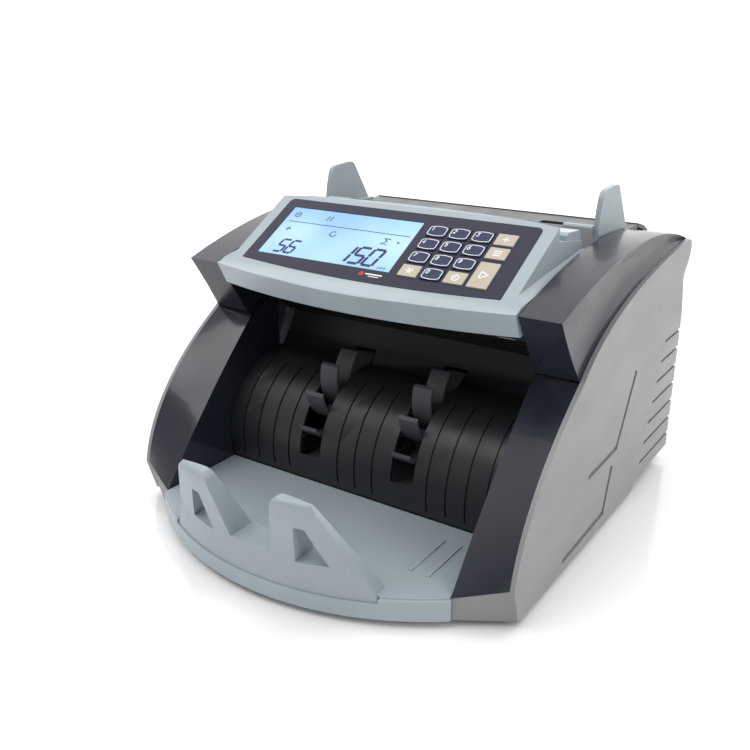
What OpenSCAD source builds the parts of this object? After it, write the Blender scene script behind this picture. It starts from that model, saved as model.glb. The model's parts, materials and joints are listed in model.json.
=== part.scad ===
// Banknote counting machine: friction feed, rear hopper, front stacker pocket.
// Millimetres, +Z up, the stacker pocket faces -Y. The origin is on the surface
// under the feet, in the middle of the whole width and depth.
// Side views are drawn as (y, z), with y counted from the side covers' front foot.

/* [Body] */
// Overall width across the two side covers
body_w = 246; // [245:0.5:248]
// Wall of the moulded covers
wall = 2.5; // [2.2:0.1:2.6]
// Half of the pocket's inner width
pocket_half = 95; // [94:0.5:95]
// Depth of the cooling grooves in the side covers
groove = 1.2; // [0.6:0.1:1.6]

/* [Hopper] */
// Slope of the hopper bed in degrees
bed_slope = 24; // [23:0.5:25]
// Thickness of a note guide's plate
guide_t = 3; // [2:0.5:3]

/* [Rollers] */
// Radius of the feed tyres
feed_r = 20; // [19:0.5:20]
// Radius of the pick-up tyres
pickup_r = 15; // [14:0.5:15]
// Radius of a stacker wheel over its vanes
wheel_r = 40; // [37:0.5:40]
// Vanes on each stacker wheel
vane_count = 12; // [8:1:14]
// Radius of the shafts
shaft_r = 4; // [3.5:0.5:4]

/* [Control panel] */
// Distance between key columns
key_pitch_x = 13.6; // [13:0.1:14]
// Distance between key rows
key_pitch_y = 10.75; // [10.5:0.05:11]
// Width of a key
key_w = 11.3; // [10:0.1:11.6]
// Height of a key
key_h = 8.5; // [7.5:0.1:8.8]
// How far a key stands above the panel sheet
key_rise = 0.7; // [0.6:0.1:1]

/* [Hidden] */
$fn = 64;
eps = 0.02;
fit = 0.05;
gap = 0.3;

cover_x = body_w / 2;
cover_in = cover_x - wall;
cap_out = cover_in - 0.2;
rim_w = 9;
inner_x = cover_in - rim_w - gap;
cap_in = 96.2;
frame_in = 99;
frame_t = 1.5;
console_in = 87.8;

// Tray and stops: the front lip and the stops share one centre in plan.
lip_c = 103;
lip_r = 154;
lip_seat_r = 151.7;
tray_z = 16.6;
floor_z = 4;
base_t = 1.5;
base_top = floor_z + base_t;
stop_foot_z = 13;

// Half of the stops' front view, from the notch between them to the outer foot
stop_half = [[13.2, 30], [20.3, 61.6], [20.9, 63.8], [22.6, 65.6], [25, 66.3], [38.5, 66.3],
             [41, 65.6], [42.8, 63.4], [66.3, 14], [66.3, 0]];

// Radius and height of the stops' face, from its foot to its rounded top
stop_steps = [[153, stop_foot_z], [153, 29.5], [161.2, 61.6], [160.9, 63.6], [159.6, 65.3],
              [157, 66.4]];
stop_front = sqrt(stop_steps[2][0] * stop_steps[2][0] - stop_half[1][0] * stop_half[1][0]) - lip_c;
rear_y = 230;
mid_y = (rear_y - stop_front) / 2;

// Shaft centres in the side view
bed_nip = [120, 136];
bed_dir = [cos(bed_slope), sin(bed_slope)];
bed_down = [sin(bed_slope), -cos(bed_slope)];
bed_level = 158;
bed_knee = bed_nip[0] + (bed_level - bed_nip[1]) / tan(bed_slope);
bed_rear = 205;
proud = 0.8;
feed_at = bed_nip + (feed_r - proud) * bed_down;
pickup_at = bed_nip + 38 * bed_dir + (pickup_r - proud) * bed_down;
wheel_at = [78, 48];
pinch_r = 7;
pinch_angle = 160;
pinch_at = feed_at + (feed_r + pinch_r + gap) * [cos(pinch_angle), sin(pinch_angle)];
motor_at = [180, 62];
holder_at = [100, 155];
guide_rod_at = [182, 150];
guard_at = [85.5, 31];
guard_r = 46.5;

// Tyres and wheels along the shafts
feed_tyre_x = [18, 42];
pickup_tyre_x = [22, 34];
wheel_x = [26, 38];
pinch_x = [22, 38];

// Control panel: a sheet that lies on the sloping top of the console.
panel_tilt = 29.6;
panel_y = 45.8;
panel_z = 145.6;
panel_half = 83;
panel_len = 54.4;
panel_bulge = 4;
sheet_t = 0.8;
recess = 0.6;
lcd_box = [-75.5, 6, 15, 47];
lcd_face = 0.05;
key_x0 = 26.6;
key_y0 = 9;

// ---------------------------------------------------------------- helpers

// Points of a quadratic curve from a to b that leans towards c.
function bent(a, c, b, t) = (1 - t) * (1 - t) * a + 2 * t * (1 - t) * c + t * t * b;
function curve(a, c, b, n) = [for (i = [0:n]) bent(a, c, b, i / n)];

// A solid through rings of points; each ring runs anticlockwise seen from the last ring.
module loft(rings) {
    m = len(rings[0]);
    last = m * (len(rings) - 1);
    skin = [for (i = [0:len(rings) - 2]) for (k = [0:m - 1]) let (a = m * i, n = (k + 1) % m)
        for (t = [[a + k, a + m + n, a + n], [a + k, a + m + k, a + m + n]]) t];
    ends = [[for (k = [0:m - 1]) k], [for (k = [m - 1:-1:0]) last + k]];
    polyhedron([for (r = rings) for (p = r) p], concat(skin, ends));
}

// Places the whole machine over the origin.
module in_frame() translate([0, -mid_y, 0]) children();

// A side view drawn in (y, z), made solid from x0 to x1.
module across(x0, x1) translate([x0, 0, 0]) rotate([90, 0, 90])
    linear_extrude(x1 - x0) children();

// A front view drawn in (x, z), made solid from y0 to y1.
module along(y0, y1) translate([0, y1, 0]) rotate([90, 0, 0])
    linear_extrude(y1 - y0) children();

// A round bar along X.
module bar(r, x0, x1, at) translate([x0, at[0], at[1]]) rotate([0, 90, 0])
    cylinder(r = r, h = x1 - x0);

// A round collar along X with a bore.
module collar(r, bore_r, x0, x1, at) difference() {
    bar(r, x0, x1, at);
    bar(bore_r, x0 - 1, x1 + 1, at);
}

// The right-hand piece as drawn, or its mirror image on the left.
module side(s) mirror([s < 0 ? 1 : 0, 0, 0]) children();

// A sector of a ring between two angles, drawn about the origin.
module ring_sector(r0, r1, a0, a1) {
    steps = 6;
    intersection() {
        difference() {
            circle(r1);
            circle(r0);
        }
        polygon(concat([[0, 0]], [for (i = [0:steps])
            let (a = a0 + (a1 - a0) * i / steps) 2 * r1 * [cos(a), sin(a)]]));
    }
}

module rounded(w, h, r) offset(r) square([w - 2 * r, h - 2 * r], center = true);

function unit(v) = v / norm(v);

// From point i of a line to the mitred edge of a strip of thickness t.
function mitre(points, i, t) = let (
    last = len(points) - 1,
    a = unit(points[max(i, 1)] - points[max(i, 1) - 1]),
    b = unit(points[min(i, last - 1) + 1] - points[min(i, last - 1)]),
    both = a + b) [-both[1], both[0]] * t / (both * both);

// A strip of constant thickness along a line of points in a side view.
module strip(points, t) polygon(concat(
    [for (i = [0:len(points) - 1]) points[i] + mitre(points, i, t)],
    [for (i = [len(points) - 1:-1:0]) points[i] - mitre(points, i, t)]));

// ---------------------------------------------------------------- outlines

pillar_n = 18;
top_n = 16;
pillar_outer = concat([[0, 3.7]], curve([-6, 23.6], [1.8, 67.2], [61, 105.5], pillar_n));
pillar_inner = concat([[-16.4, 4]], curve([-15.8, 15.7], [20, 62], [64.3, 103.8], pillar_n));

function cover_top_at(t) = bent([61, 105.5], [97, 141], [222, 149.2], t);
function cap_top_at(t) = bent([38.5, 141.5], [148, 177], [rear_y, 147.5], t);
cover_top = [for (i = [0:top_n]) cover_top_at(i / top_n)];
cap_top = [for (i = [0:top_n]) cap_top_at(i / top_n)];

// Rear edge of a side cover, from the top lobe down to its foot
cover_rear = [[226.5, 148.3], [229, 146.4], [rear_y, 143], [229.2, 138.6], [226.2, 133.6],
              [221.6, 129], [220.4, 125], [221.4, 120], [224.6, 110], [227, 98], [228.5, 8.4],
              [163, 8.4], [160.5, 3.7]];

module cover_outline() polygon(concat(
    pillar_outer, [for (i = [1:top_n]) cover_top[i]], cover_rear));

cap_low = [[rear_y - 0.3, 135], [228, 129], [222, 129], [205, 153.8], [bed_knee, 153.8],
           [126, 134.6], [92, 134.6], [90, 117], [61.6, 106.2]];
cap_skirt = concat([[rear_y - 0.3, 135], [227, 129.5]],
    [for (i = [top_n:-1:2]) cover_top[i] - [0, 9]], [[67, 106], [61.6, 106.2]]);

// ---------------------------------------------------------------- casing

// Flat side cover with cooling grooves, styling lines and screw bosses.
module side_cover() color("#8f9296") {
    vent_z = [17.9, 29.8, 41.9, 54, 66.2, 78.2, 90.2];
    difference() {
        union() {
            across(cover_in, cover_x) cover_outline();
            across(cover_in - rim_w, cover_in + eps) rim();
            for (at = boss_at) collar(5, 1.4, frame_in + frame_t, cover_in + 0.5, at);
            // Foot in front of the pocket's corner
            loft([slant_ring(0, cover_in + eps, 0), slant_ring(1, cover_in + eps, 0)]);
        }
        for (i = [0:6]) translate([cover_x - groove, 171 + 4.3 * i, vent_z[i] - 1])
            cube([groove + 1, 70, 2]);
        across(cover_x - wall / 2, cover_x + 1) styling_lines();
    }
}

boss_at = [[40, 30], [110, 22], [205, 24], [205, 110]];

// Inward rim along the bottom and the rear edge of a side cover.
module rim() intersection() {
    difference() {
        cover_outline();
        offset(delta = -wall) cover_outline();
    }
    polygon([[8, 0], [240, 0], [240, 128.5], [200, 128.5], [200, 20], [8, 20]]);
}

module styling_lines() {
    strip([[144, 87.3], [122, 47.7], [80.2, 46.9]], 3.6);
    strip([[117, 38.4], [108.8, 11.9], [51.4, 10.2]], 3.6);
}

// Dark cap over the top of a side: a hollow horn, open below. Its inner wall stops
// above the hopper bed and its outer wall reaches down behind the side cover.
module top_cap() color("#33363d") difference() {
    union() {
        across(cap_in, cap_in + wall) polygon(concat(cap_top, cap_low));
        difference() {
            across(cap_in + wall - eps, cap_out) polygon(concat(cap_top, cap_skirt));
            across(cap_in, scoop_floor) offset(delta = -wall)
                polygon(concat(cap_top, [[rear_y - 0.5, 60], [84, 60], [60.2, 104]]));
        }
    }
    scoop_cut();
}

// The outer face is scooped between the ridge and the side cover's top edge.
scoop_floor = 115;
scoop_share = [for (s = [1:-0.125:0]) s];

function ridge_x(t) = 118.2 + 2 * t;
function scoop_depth(t) = 0.7 + 2.2 * sin(180 * max(t, 0));
function scoop_point(t, s, x) = let (p = cap_top_at(t) * (1 - s) + cover_top_at(t) * s) [x, p[0], p[1]];
function scoop_x(t, s) = ridge_x(t) * (1 - s) + (cap_out + 0.05) * s - scoop_depth(t) * 4 * s * (1 - s);

function scoop_ring(t) = concat(
    [scoop_point(t, -0.25, ridge_x(t)), scoop_point(t, -0.25, cover_x + 8), scoop_point(t, 1, cover_x + 8)],
    [for (s = scoop_share) scoop_point(t, s, scoop_x(t, s))]);

module scoop_cut()
    loft([for (t = [-0.06, 0, 0.07, 0.14, 0.22, 0.3, 0.4, 0.5, 0.6, 0.7, 0.8, 0.9, 0.97]) scoop_ring(t)]);

// Cross-section i of the slanted front, from the pocket to x, raised by up.
function slant_ring(i, x, up) = let (a = pillar_inner[i], b = pillar_outer[i], back = pillar_back(i)) [
    [pocket_half, a[0], a[1] + up],
    [x, b[0], b[1] + up],
    [x, b[0] + back[0], b[1] + back[1] + up],
    [pocket_half, a[0] + back[0], a[1] + back[1] + up]];

// Slanted dark front of a side, with the cheek that walls the pocket.
module front_pillar() color("#3a3d44") {
    loft([for (i = [1:len(pillar_outer) - 1]) slant_ring(i, cap_out, i == 1 ? 0.2 : 0)]);
    difference() {
        across(pocket_half, pocket_half + 2) cheek();
        bar(shaft_r + 3, pocket_half - 1, pocket_half + 3, wheel_at);
    }
    // Ledge behind the joint with the top cap
    across(pocket_half + 2 - eps, scoop_floor - 0.2)
        polygon([[61.2, 105.2], [64, 103.6], [80, 109.9], [80, 111.1], [62.2, 105.6]]);
}

function pillar_back(i) = let (k = min(i / pillar_n, 1)) [2.6 + 0.6 * sin(90 * k), -1.4 * k];

module cheek() polygon(concat(
    [for (i = [2:len(pillar_inner) - 1]) pillar_inner[i] + [0.8, -0.4]],
    [[89.5, 113.8], [89.5, 7.2], [50, 7.2], [50, 6], [-11.6, 6], [-11.6, 17]]));

// ---------------------------------------------------------------- console

console_top = [[24.5, 140.8], [26.5, 141.8], [39, 142.2], [42.2, 143.55], [97, 174.7],
               [100.2, 175.4]];
ridge_y = 100.2;
ridge_bow_r = 767;

function deck_z(y) = 166 - 0.145 * (y - 95);

module console_profile() polygon(concat([[31, 128.9]], console_top,
    [[126, 174], [126, 150.5], [123, 150.5], [104, 130]]));

module console_hollow() polygon([[33, 120], [28.5, 138.2], [39.5, 139.4], [43.5, 141.2],
    [92.6, 168.9], [95.6, 163.4], [123.5, 159.2], [123.5, 140], [104, 120]]);

// Behind the bowed rear ridge the top drops to a low deck.
module deck_cut() difference() {
    across(-100, 100) polygon([[90, deck_z(90)], [90, 190], [140, 190], [140, deck_z(140)]]);
    translate([0, ridge_y - ridge_bow_r, 100]) cylinder(r = ridge_bow_r, h = 100, $fn = 360);
}

// Raised pad at a rear corner, with an undercut on its front.
module corner_pad() difference() {
    across(69, 90) polygon([[107, deck_z(107) - 1], [107, 167], [109, 168.4], [124, 167.4],
                            [125.8, 165.6], [125.8, deck_z(125.8) - 1]]);
    translate([70.4, 100, deck_z(107) + 0.2]) cube([11, 16, 2]);
}

// The front edge is an arc in plan and leans back towards its lower lip.
module console_plan(inset) translate([0, 24.5 + 361, 128.9 - 20])
    cylinder(r1 = 361 - 6.5 - 20 * 0.51 - inset, r2 = 361 + 60 * 0.51 - 6.5 - inset, h = 80);

// Each flank falls in two facets that fan out from the front corner.
module flank_cut() hull() {
    translate([90.2, 44, 147.4]) cube([0.1, 0.1, 8]);
    translate([97, 34, 142]) cube([3, 0.1, 8]);
    translate([91.3, 132, 158]) cube([9, 0.1, 40]);
    translate([95, 97, 160]) cube([4, 0.1, 20]);
    translate([90.8, 97, 175]) cube([4, 0.1, 8]);
}

module console_housing() color("#aeb6bb") difference() {
    union() {
        difference() {
            intersection() {
                across(1 - cap_in, cap_in - 1) console_profile();
                console_plan(0);
            }
            deck_cut();
        }
        for (s = [0, 1]) mirror([s, 0, 0]) corner_pad();
    }
    difference() {
        intersection() {
            across(-console_in, console_in) console_hollow();
            console_plan(wall);
        }
        for (s = [-1, 1]) across(s * 60 - 2, s * 60 + 2)
            polygon([[95.2, 150], [95.2, 170], [108, 170], [108, 150], [104, 148], [96, 148]]);
    }
    for (s = [0, 1]) mirror([s, 0, 0]) flank_cut();
    on_panel() {
        translate([0, 0, -recess]) linear_extrude(recess + 5) panel_outline(0.15);
        translate([lcd_box[0] - gap, lcd_box[1] - gap, -12])
            cube([lcd_box[2] - lcd_box[0] + 2 * gap, lcd_box[3] - lcd_box[1] + 2 * gap, 14]);
        translate([19.5, 3, -12]) cube([56, 46, 14]);
    }
    bar(3 + fit, -70, 70, holder_at);
    translate([0, 114, 150]) cylinder(r = 2.3, h = 30);
    translate([0, 114, 162.9]) cylinder(r = 8, h = 14);
}

module on_panel() translate([0, panel_y, panel_z]) rotate([panel_tilt, 0, 0]) children();

// Outline of the sheet: round corners and a bowed lower edge.
module panel_outline(grow) intersection() {
    translate([0, (panel_len - panel_bulge) / 2])
        rounded(2 * panel_half + 2 * grow, panel_len + panel_bulge + 2 * grow, 3.5);
    bow_r = (panel_half * panel_half + panel_bulge * panel_bulge) / (2 * panel_bulge);
    translate([0, bow_r - panel_bulge]) circle(bow_r + grow, $fn = 180);
}

// Key outline: straight sides, with bowed upper and lower edges.
module key_outline(w, h, grow = 0) {
    bow = 0.9;
    bow_r = (w * w / 4 + bow * bow) / (2 * bow);
    intersection() {
        square([w + 2 * grow, h + 2 * grow], center = true);
        for (s = [1, -1]) translate([0, s * (h / 2 - bow_r)]) circle(bow_r + grow);
    }
}

// Column and row of each key, counted from the lower left of the keypad.
key_table = [["key_lamp", 0, 0], ["key_0", 1, 0], ["key_value", 2, 0], ["key_7", 0, 1],
    ["key_8", 1, 1], ["key_9", 2, 1], ["key_4", 0, 2], ["key_5", 1, 2], ["key_6", 2, 2],
    ["key_batch", 3, 2], ["key_1", 0, 3], ["key_2", 1, 3], ["key_3", 2, 3], ["key_add", 3, 3],
    ["key_start", 3, 0.45]];

function key_size(name) = name == "key_start" ? [key_w, 2.2 * key_h] : [key_w, key_h];

module at_key(k) translate([key_x0 + k[1] * key_pitch_x, key_y0 + k[2] * key_pitch_y, 0]) children();

module panel_sheet() color("#2f3340") on_panel() difference() {
    translate([0, 0, -recess]) linear_extrude(sheet_t) panel_outline(0);
    translate([lcd_box[0] - 0.2, lcd_box[1] - 0.2, -5])
        cube([lcd_box[2] - lcd_box[0] + 0.4, lcd_box[3] - lcd_box[1] + 0.4, 10]);
    for (k = key_table) at_key(k) translate([0, 0, -5]) linear_extrude(10)
        key_outline(key_size(k[0])[0], key_size(k[0])[1], 0.25);
}

// A key cap with a foot that keeps it behind the sheet.
module key(name) color(len(name) == 5 ? "#2b3350" : "#c9bda6") on_panel() {
    for (k = key_table) if (k[0] == name) at_key(k) {
        translate([0, 0, -1.7]) linear_extrude(1.7 + sheet_t - recess + key_rise)
            key_outline(key_size(name)[0], key_size(name)[1]);
        translate([0, 0, -1.7]) linear_extrude(0.6)
            key_outline(key_size(name)[0] + 1.2, key_size(name)[1] + 1);
    }
}

module lcd_module() color("#9fc4e6") on_panel() {
    w = lcd_box[2] - lcd_box[0];
    h = lcd_box[3] - lcd_box[1];
    translate([lcd_box[0], lcd_box[1], -4.4]) cube([w, h, 4.4 + lcd_face]);
    translate([lcd_box[0] - 3, lcd_box[1] - 2.5, -8]) cube([w + 6, h + 5, 3.7]);
}

module keypad_board() color("#2d6b46") on_panel() {
    translate([19, 2.2, -4.7]) cube([57, 46.4, 1.6]);
    for (k = key_table) at_key(k) translate([0, 0, -3.12]) cylinder(r = 2.5, h = 0.5);
}

// ---------------------------------------------------------------- hopper

bed_line = [bed_nip + 2.2 * bed_dir, [bed_knee, bed_level], [bed_rear, bed_level]];

module bed_profile() polygon(concat(bed_line,
    [[bed_rear, bed_level - wall], [bed_knee + 0.5, bed_level - wall],
     bed_nip + 3 * bed_dir + wall * bed_down]));

module hopper_bed() color("#2b2c2e") difference() {
    union() {
        across(-pocket_half - 0.7, pocket_half + 0.7) bed_profile();
        for (s = [-1, 1]) across(s * 60 - 1, s * 60 + 1)
            polygon([bed_nip + 24 * bed_dir + bed_down, [bed_knee, bed_level - 1],
                     [bed_knee + 3, bed_level - 6]]);
    }
    for (s = [0, 1]) mirror([s, 0, 0]) {
        across(feed_tyre_x[0] - 1, feed_tyre_x[1] + 1) translate(feed_at) circle(feed_r + 1);
        across(pickup_tyre_x[0] - 1, pickup_tyre_x[1] + 1) translate(pickup_at) circle(pickup_r + 1);
        translate([42, 178, 150]) cube([51.5, 8, 12]);
    }
}

// Note guide: an upright plate, a low bar across the hopper mouth and a carriage
// under the bed that runs on the guide rod.
module note_guide() color("#b4bbc0") {
    x1 = pocket_half - 0.8;
    x0 = x1 - guide_t;
    lift = 0.6;
    across(x0, x1) polygon(concat([[141.2, 164], [142.6, 174]],
        curve([144.6, 181], [145.5, 185], [150, 185.8], 5),
        curve([164, 186.8], [169.4, 187.2], [171.4, 183], 5),
        [[187.4, 159.6], [187.4, bed_level + lift], [bed_knee - 0.2, bed_level + lift],
         [141.2, bed_level + lift - (bed_knee - 141.2) * tan(bed_slope)]]));
    across(74, x0 + eps) polygon([[139, 163.4], [139, 166], [140, 167], [143, 167], [143, 163.4]]);
    across(x1 - eps, x1 + 0.4) polygon([[141.4, 160.8], [141.4, 163], [187, 161.4], [187, 159.6]]);
    across(x0 - 4, x0 + eps) polygon([[172, bed_level + lift], [172, 160.8], [187, 160.8],
        [187, bed_level + lift]]);
    translate([x0 - 4, 180.2, 153]) cube([5, 3.6, 6.5]);
    difference() {
        translate([x0 - 8, 175, 144]) cube([12, 14, 10.6]);
        bar(3 + fit, x0 - 10, x1 + 4, guide_rod_at);
    }
}

module pad_sector(r0, r1, a0, a1) translate(feed_at) ring_sector(r0, r1, a0, a1);

// Swinging arm that presses the friction pad towards the feed tyres.
module friction_holder() color("#c3c6c8") difference() {
    union() {
        across(-44, 44) pad_sector(feed_r + 4.4, feed_r + 6.6, 104, 138);
        for (x = [-40, -1.5, 37]) across(x, x + 3) {
            polygon([holder_at + [-4.5, 0], holder_at + [1, 4.6], [115, 150.4], [120, 145.6],
                     feed_at + (feed_r + 6.4) * [cos(106), sin(106)],
                     feed_at + (feed_r + 6.4) * [cos(136), sin(136)]]);
            translate(holder_at) circle(5);
        }
        collar(5, 3 + fit, -40, 40, holder_at);
        across(-5, 5) polygon([[108, 149.6], [108, 152.4], [116, 149.7], [116, 147]]);
    }
    bar(3 + fit, -50, 50, holder_at);
    bar(pinch_r + 1.5, -60, 60, pinch_at);
}

module friction_pad() color("#7a2b22") across(-42, 42) pad_sector(feed_r + 0.8, feed_r + 4.4, 104, 138);

// Knurled thumb screw that sets the feed gap.
module gap_screw() color("#4a4b4d") translate([0, 114, 0]) {
    cylinder_z(2, 152.8, 164);
    difference() {
        cylinder_z(6.5, 163.2, 168);
        for (i = [0:17]) rotate(20 * i) translate([6.7, 0, 162]) cylinder(r = 0.6, h = 8);
        translate([-8, -0.5, 167.2]) cube([16, 1, 2]);
    }
}

module cylinder_z(r, z0, z1) translate([0, 0, z0]) cylinder(r = r, h = z1 - z0);

// ---------------------------------------------------------------- pocket

// Ceiling of the pocket, in front of the pinch rollers.
module upper_throat_plate() color("#1c1d1f") {
    across(-pocket_half + 0.4, pocket_half - 0.4)
        strip([[99.5, 101], [90, 110], [66, 121], [53, 125.5]], 2);
    across(gap - console_in, console_in - gap) strip([[54, 125.2], [51.6, 126.4], [47, 134]], 2);
}

// Curved plate over the stacker wheels, with a slot for each wheel.
module pocket_back_plate() color("#3b3d42") difference() {
    across(-pocket_half + 0.4, pocket_half - 0.4) {
        translate(guard_at) ring_sector(guard_r - 2, guard_r, 80, 197.5);
        strip([guard_at + (guard_r - 1) * [cos(80), sin(80)], [101.5, 87], [107.5, 101.5]], 2);
    }
    for (s = [0, 1]) mirror([s, 0, 0]) across(wheel_x[0] - 1.5, wheel_x[1] + 1.5)
        translate(wheel_at) circle(wheel_r + 1.5);
    for (x = [-84:12:84]) if (abs(x) > 44 || abs(x) < 20) across(x - 0.6, x + 0.6)
        translate(guard_at) ring_sector(guard_r - 0.8, guard_r + 1, 110, 192);
}

module tray_plan(inset) intersection() {
    translate([0, lip_c]) circle(lip_r - inset, $fn = 180);
    translate([-pocket_half - 1, -60]) square([2 * pocket_half + 2, 101]);
}

// Light tray: floor, bowed front lip and a hollow underside.
module stacker_tray() color("#aeb6bb") difference() {
    union() {
        translate([0, 0, floor_z]) linear_extrude(tray_z - floor_z - 1.2) tray_plan(0);
        translate([0, 0, tray_z - 1.6]) linear_extrude(1.6) tray_plan(1.2);
        for (x = [66, 76]) translate([x, -8, tray_z - 0.5]) cube([2.4, 34, 1.3]);
    }
    // Step in the lip that the stops stand on
    intersection() {
        translate([-66.7, -60, stop_foot_z - 0.1]) cube([133.4, 40, 10]);
        translate([0, lip_c, 0]) difference() {
            cylinder(r = lip_r + 1, h = 20);
            translate([0, 0, -1]) cylinder(r = lip_seat_r, h = 22, $fn = 180);
        }
    }
    translate([0, 0, floor_z - 1]) linear_extrude(tray_z - floor_z + 1 - wall) intersection() {
        tray_plan(2 * wall);
        translate([-pocket_half + 2, -60]) square([2 * pocket_half - 4, 99]);
    }
    translate([-100, 5.7, 0]) cube([200, 60, base_top]);
    // Room for the pillars' feet behind the lip
    for (s = [-1, 1]) translate([s * (pocket_half + 5), 30, 0])
        cube([10 + 2 * gap, 92.6, 60], center = true);
}

stop_face = concat(stop_half,
    [for (i = [len(stop_half) - 1:-1:0]) [-stop_half[i][0], stop_half[i][1]]]);
window_face = [[26.7, 28.3], [30.3, 50.5], [36.2, 50.5], [44.4, 29.3]];

// Bowed face of the stops: upright at the foot, leaning forward above the bridge.
module stop_form() translate([0, lip_c, 0])
    for (i = [0:len(stop_steps) - 2]) translate([0, 0, stop_steps[i][1]])
        cylinder(r1 = stop_steps[i][0], r2 = stop_steps[i + 1][0],
                 h = stop_steps[i + 1][1] - stop_steps[i][1], $fn = 180);

// The two stops are one moulding: a leaning wedge with a low bridge between them.
module stacker_stops() color("#b4bbc0") difference() {
    intersection() {
        along(-90, 20) polygon(stop_face);
        stop_form();
        union() {
            across(-80, 80) polygon([[-26.5, tray_z], [-53, 70], [-70, 70], [-70, tray_z]]);
            translate([0, lip_c, stop_foot_z]) difference() {
                cylinder(r = lip_r, h = 6);
                translate([0, 0, -1]) cylinder(r = lip_seat_r + 0.1, h = 8, $fn = 180);
            }
        }
    }
    for (s = [0, 1]) mirror([s, 0, 0]) along(-90, 20) polygon(window_face);
    // Moulded panel lines on the front
    for (s = [-1, 1]) translate([28 * s - 0.4, -60, stop_foot_z - 1]) cube([0.8, 12.6, 10]);
}

// ---------------------------------------------------------------- rollers

module pulley(r, x0, x1, at) {
    bar(r, x0, x1, at);
    bar(r + 1.8, x0, x0 + 0.8, at);
    bar(r + 1.8, x1 - 0.8, x1, at);
}

motor_pulley_r = 9;
feed_pulley_r = 17;
feed_stack_r = 8;
stack_pulley_r = 24;
feed_pick_r = 12;
pick_pulley_r = 10;
belt_a = [102.5, 107.5];
belt_b = [109.5, 114.5];

module feed_shaft() color("#b9bcc0") {
    bar(shaft_r, -114, 115, feed_at);
    for (s = [0, 1]) mirror([s, 0, 0])
        bar(feed_r - 4, feed_tyre_x[0], feed_tyre_x[1], feed_at);
    pulley(feed_pulley_r, belt_a[0], belt_a[1], feed_at);
    pulley(feed_stack_r, belt_b[0], belt_b[1], feed_at);
    pulley(feed_pick_r, -belt_a[1], -belt_a[0], feed_at);
}

// Rubber tyres with fine grooves along the grip face.
module tyre(r, core_r, x0, x1, at, flats) difference() {
    bar(r, x0, x1, at);
    bar(core_r, x0 - 1, x1 + 1, at);
    for (i = [0:flats - 1]) across(x0 - 1, x1 + 1) translate(at) rotate(i * 360 / flats)
        translate([r, 0]) circle(0.5, $fn = 16);
}

module feed_tyres() color("#242424") for (s = [0, 1]) mirror([s, 0, 0])
    tyre(feed_r, feed_r - 4, feed_tyre_x[0], feed_tyre_x[1], feed_at, 24);

module pickup_shaft() color("#b9bcc0") {
    bar(shaft_r, -108, 102, pickup_at);
    for (s = [0, 1]) mirror([s, 0, 0])
        bar(pickup_r - 4, pickup_tyre_x[0], pickup_tyre_x[1], pickup_at);
    pulley(pick_pulley_r, -belt_a[1], -belt_a[0], pickup_at);
}

module pickup_tyres() color("#242424") for (s = [0, 1]) mirror([s, 0, 0])
    tyre(pickup_r, pickup_r - 4, pickup_tyre_x[0], pickup_tyre_x[1], pickup_at, 18);

module pinch_shaft() color("#c6c9cc") bar(3, 1 - console_in, console_in - 1, pinch_at);

module pinch_rollers() color("#3c3c3e") for (s = [0, 1]) mirror([s, 0, 0])
    collar(pinch_r, 3, pinch_x[0], pinch_x[1], pinch_at);

module stacker_shaft() color("#b9bcc0") {
    bar(shaft_r, -102, 115, wheel_at);
    pulley(stack_pulley_r, belt_b[0], belt_b[1], wheel_at);
}

// One vane: part of a thin ring that leans back from the hub.
module vane() intersection() {
    translate([20, -20]) difference() {
        circle(26.6);
        circle(25);
    }
    translate([8, -12]) square([40, 30]);
    circle(wheel_r);
}

module stacker_wheels() color("#5a5d63") for (s = [0, 1]) mirror([s, 0, 0]) difference() {
    across(wheel_x[0], wheel_x[1]) translate(wheel_at) {
        circle(14);
        for (i = [0:vane_count - 1]) rotate(i * 360 / vane_count) vane();
    }
    bar(shaft_r, 0, 60, wheel_at);
}

bearing_at = [feed_at, pickup_at, wheel_at];

module shaft_bearings() color("#d2d4d6") for (s = [0, 1]) mirror([s, 0, 0])
    for (at = bearing_at) collar(8, shaft_r + fit, frame_in - 0.6, frame_in + frame_t + 0.6, at);

module encoder_disc() color("#5b5e63") difference() {
    collar(14, shaft_r, -112, -111, feed_at);
    for (i = [0:23]) across(-113, -110) translate(feed_at) rotate(15 * i)
        translate([10, -0.5]) square([3, 1]);
}

// ---------------------------------------------------------------- drive

module belt(at0, r0, at1, r1, x0, x1) difference() {
    across(x0, x1) hull() {
        translate(at0) circle(r0 + gap + 1.2);
        translate(at1) circle(r1 + gap + 1.2);
    }
    across(x0 - 1, x1 + 1) hull() {
        translate(at0) circle(r0 + gap);
        translate(at1) circle(r1 + gap);
    }
}

module drive_belts() color("#1d1d1d") {
    belt(motor_at, motor_pulley_r, feed_at, feed_pulley_r, belt_a[0] + 1.2, belt_a[1] - 1.2);
    belt(feed_at, feed_stack_r, wheel_at, stack_pulley_r, belt_b[0] + 1.2, belt_b[1] - 1.2);
    belt(feed_at, feed_pick_r, pickup_at, pick_pulley_r, 1.2 - belt_a[1], -belt_a[0] - 1.2);
}

module drive_motor() color("#8b8f94") difference() {
    union() {
        bar(26, 40, 94, motor_at);
        bar(22, 34, 40 + eps, motor_at);
        bar(12, 94 - eps, frame_in, motor_at);
    }
    bar(3 + fit, 90, frame_in + 1, motor_at);
}

module motor_pulley() color("#b9bcc0") {
    bar(3, 92, 108.5, motor_at);
    pulley(motor_pulley_r, belt_a[0], belt_a[1], motor_at);
}

// ---------------------------------------------------------------- frame

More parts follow.
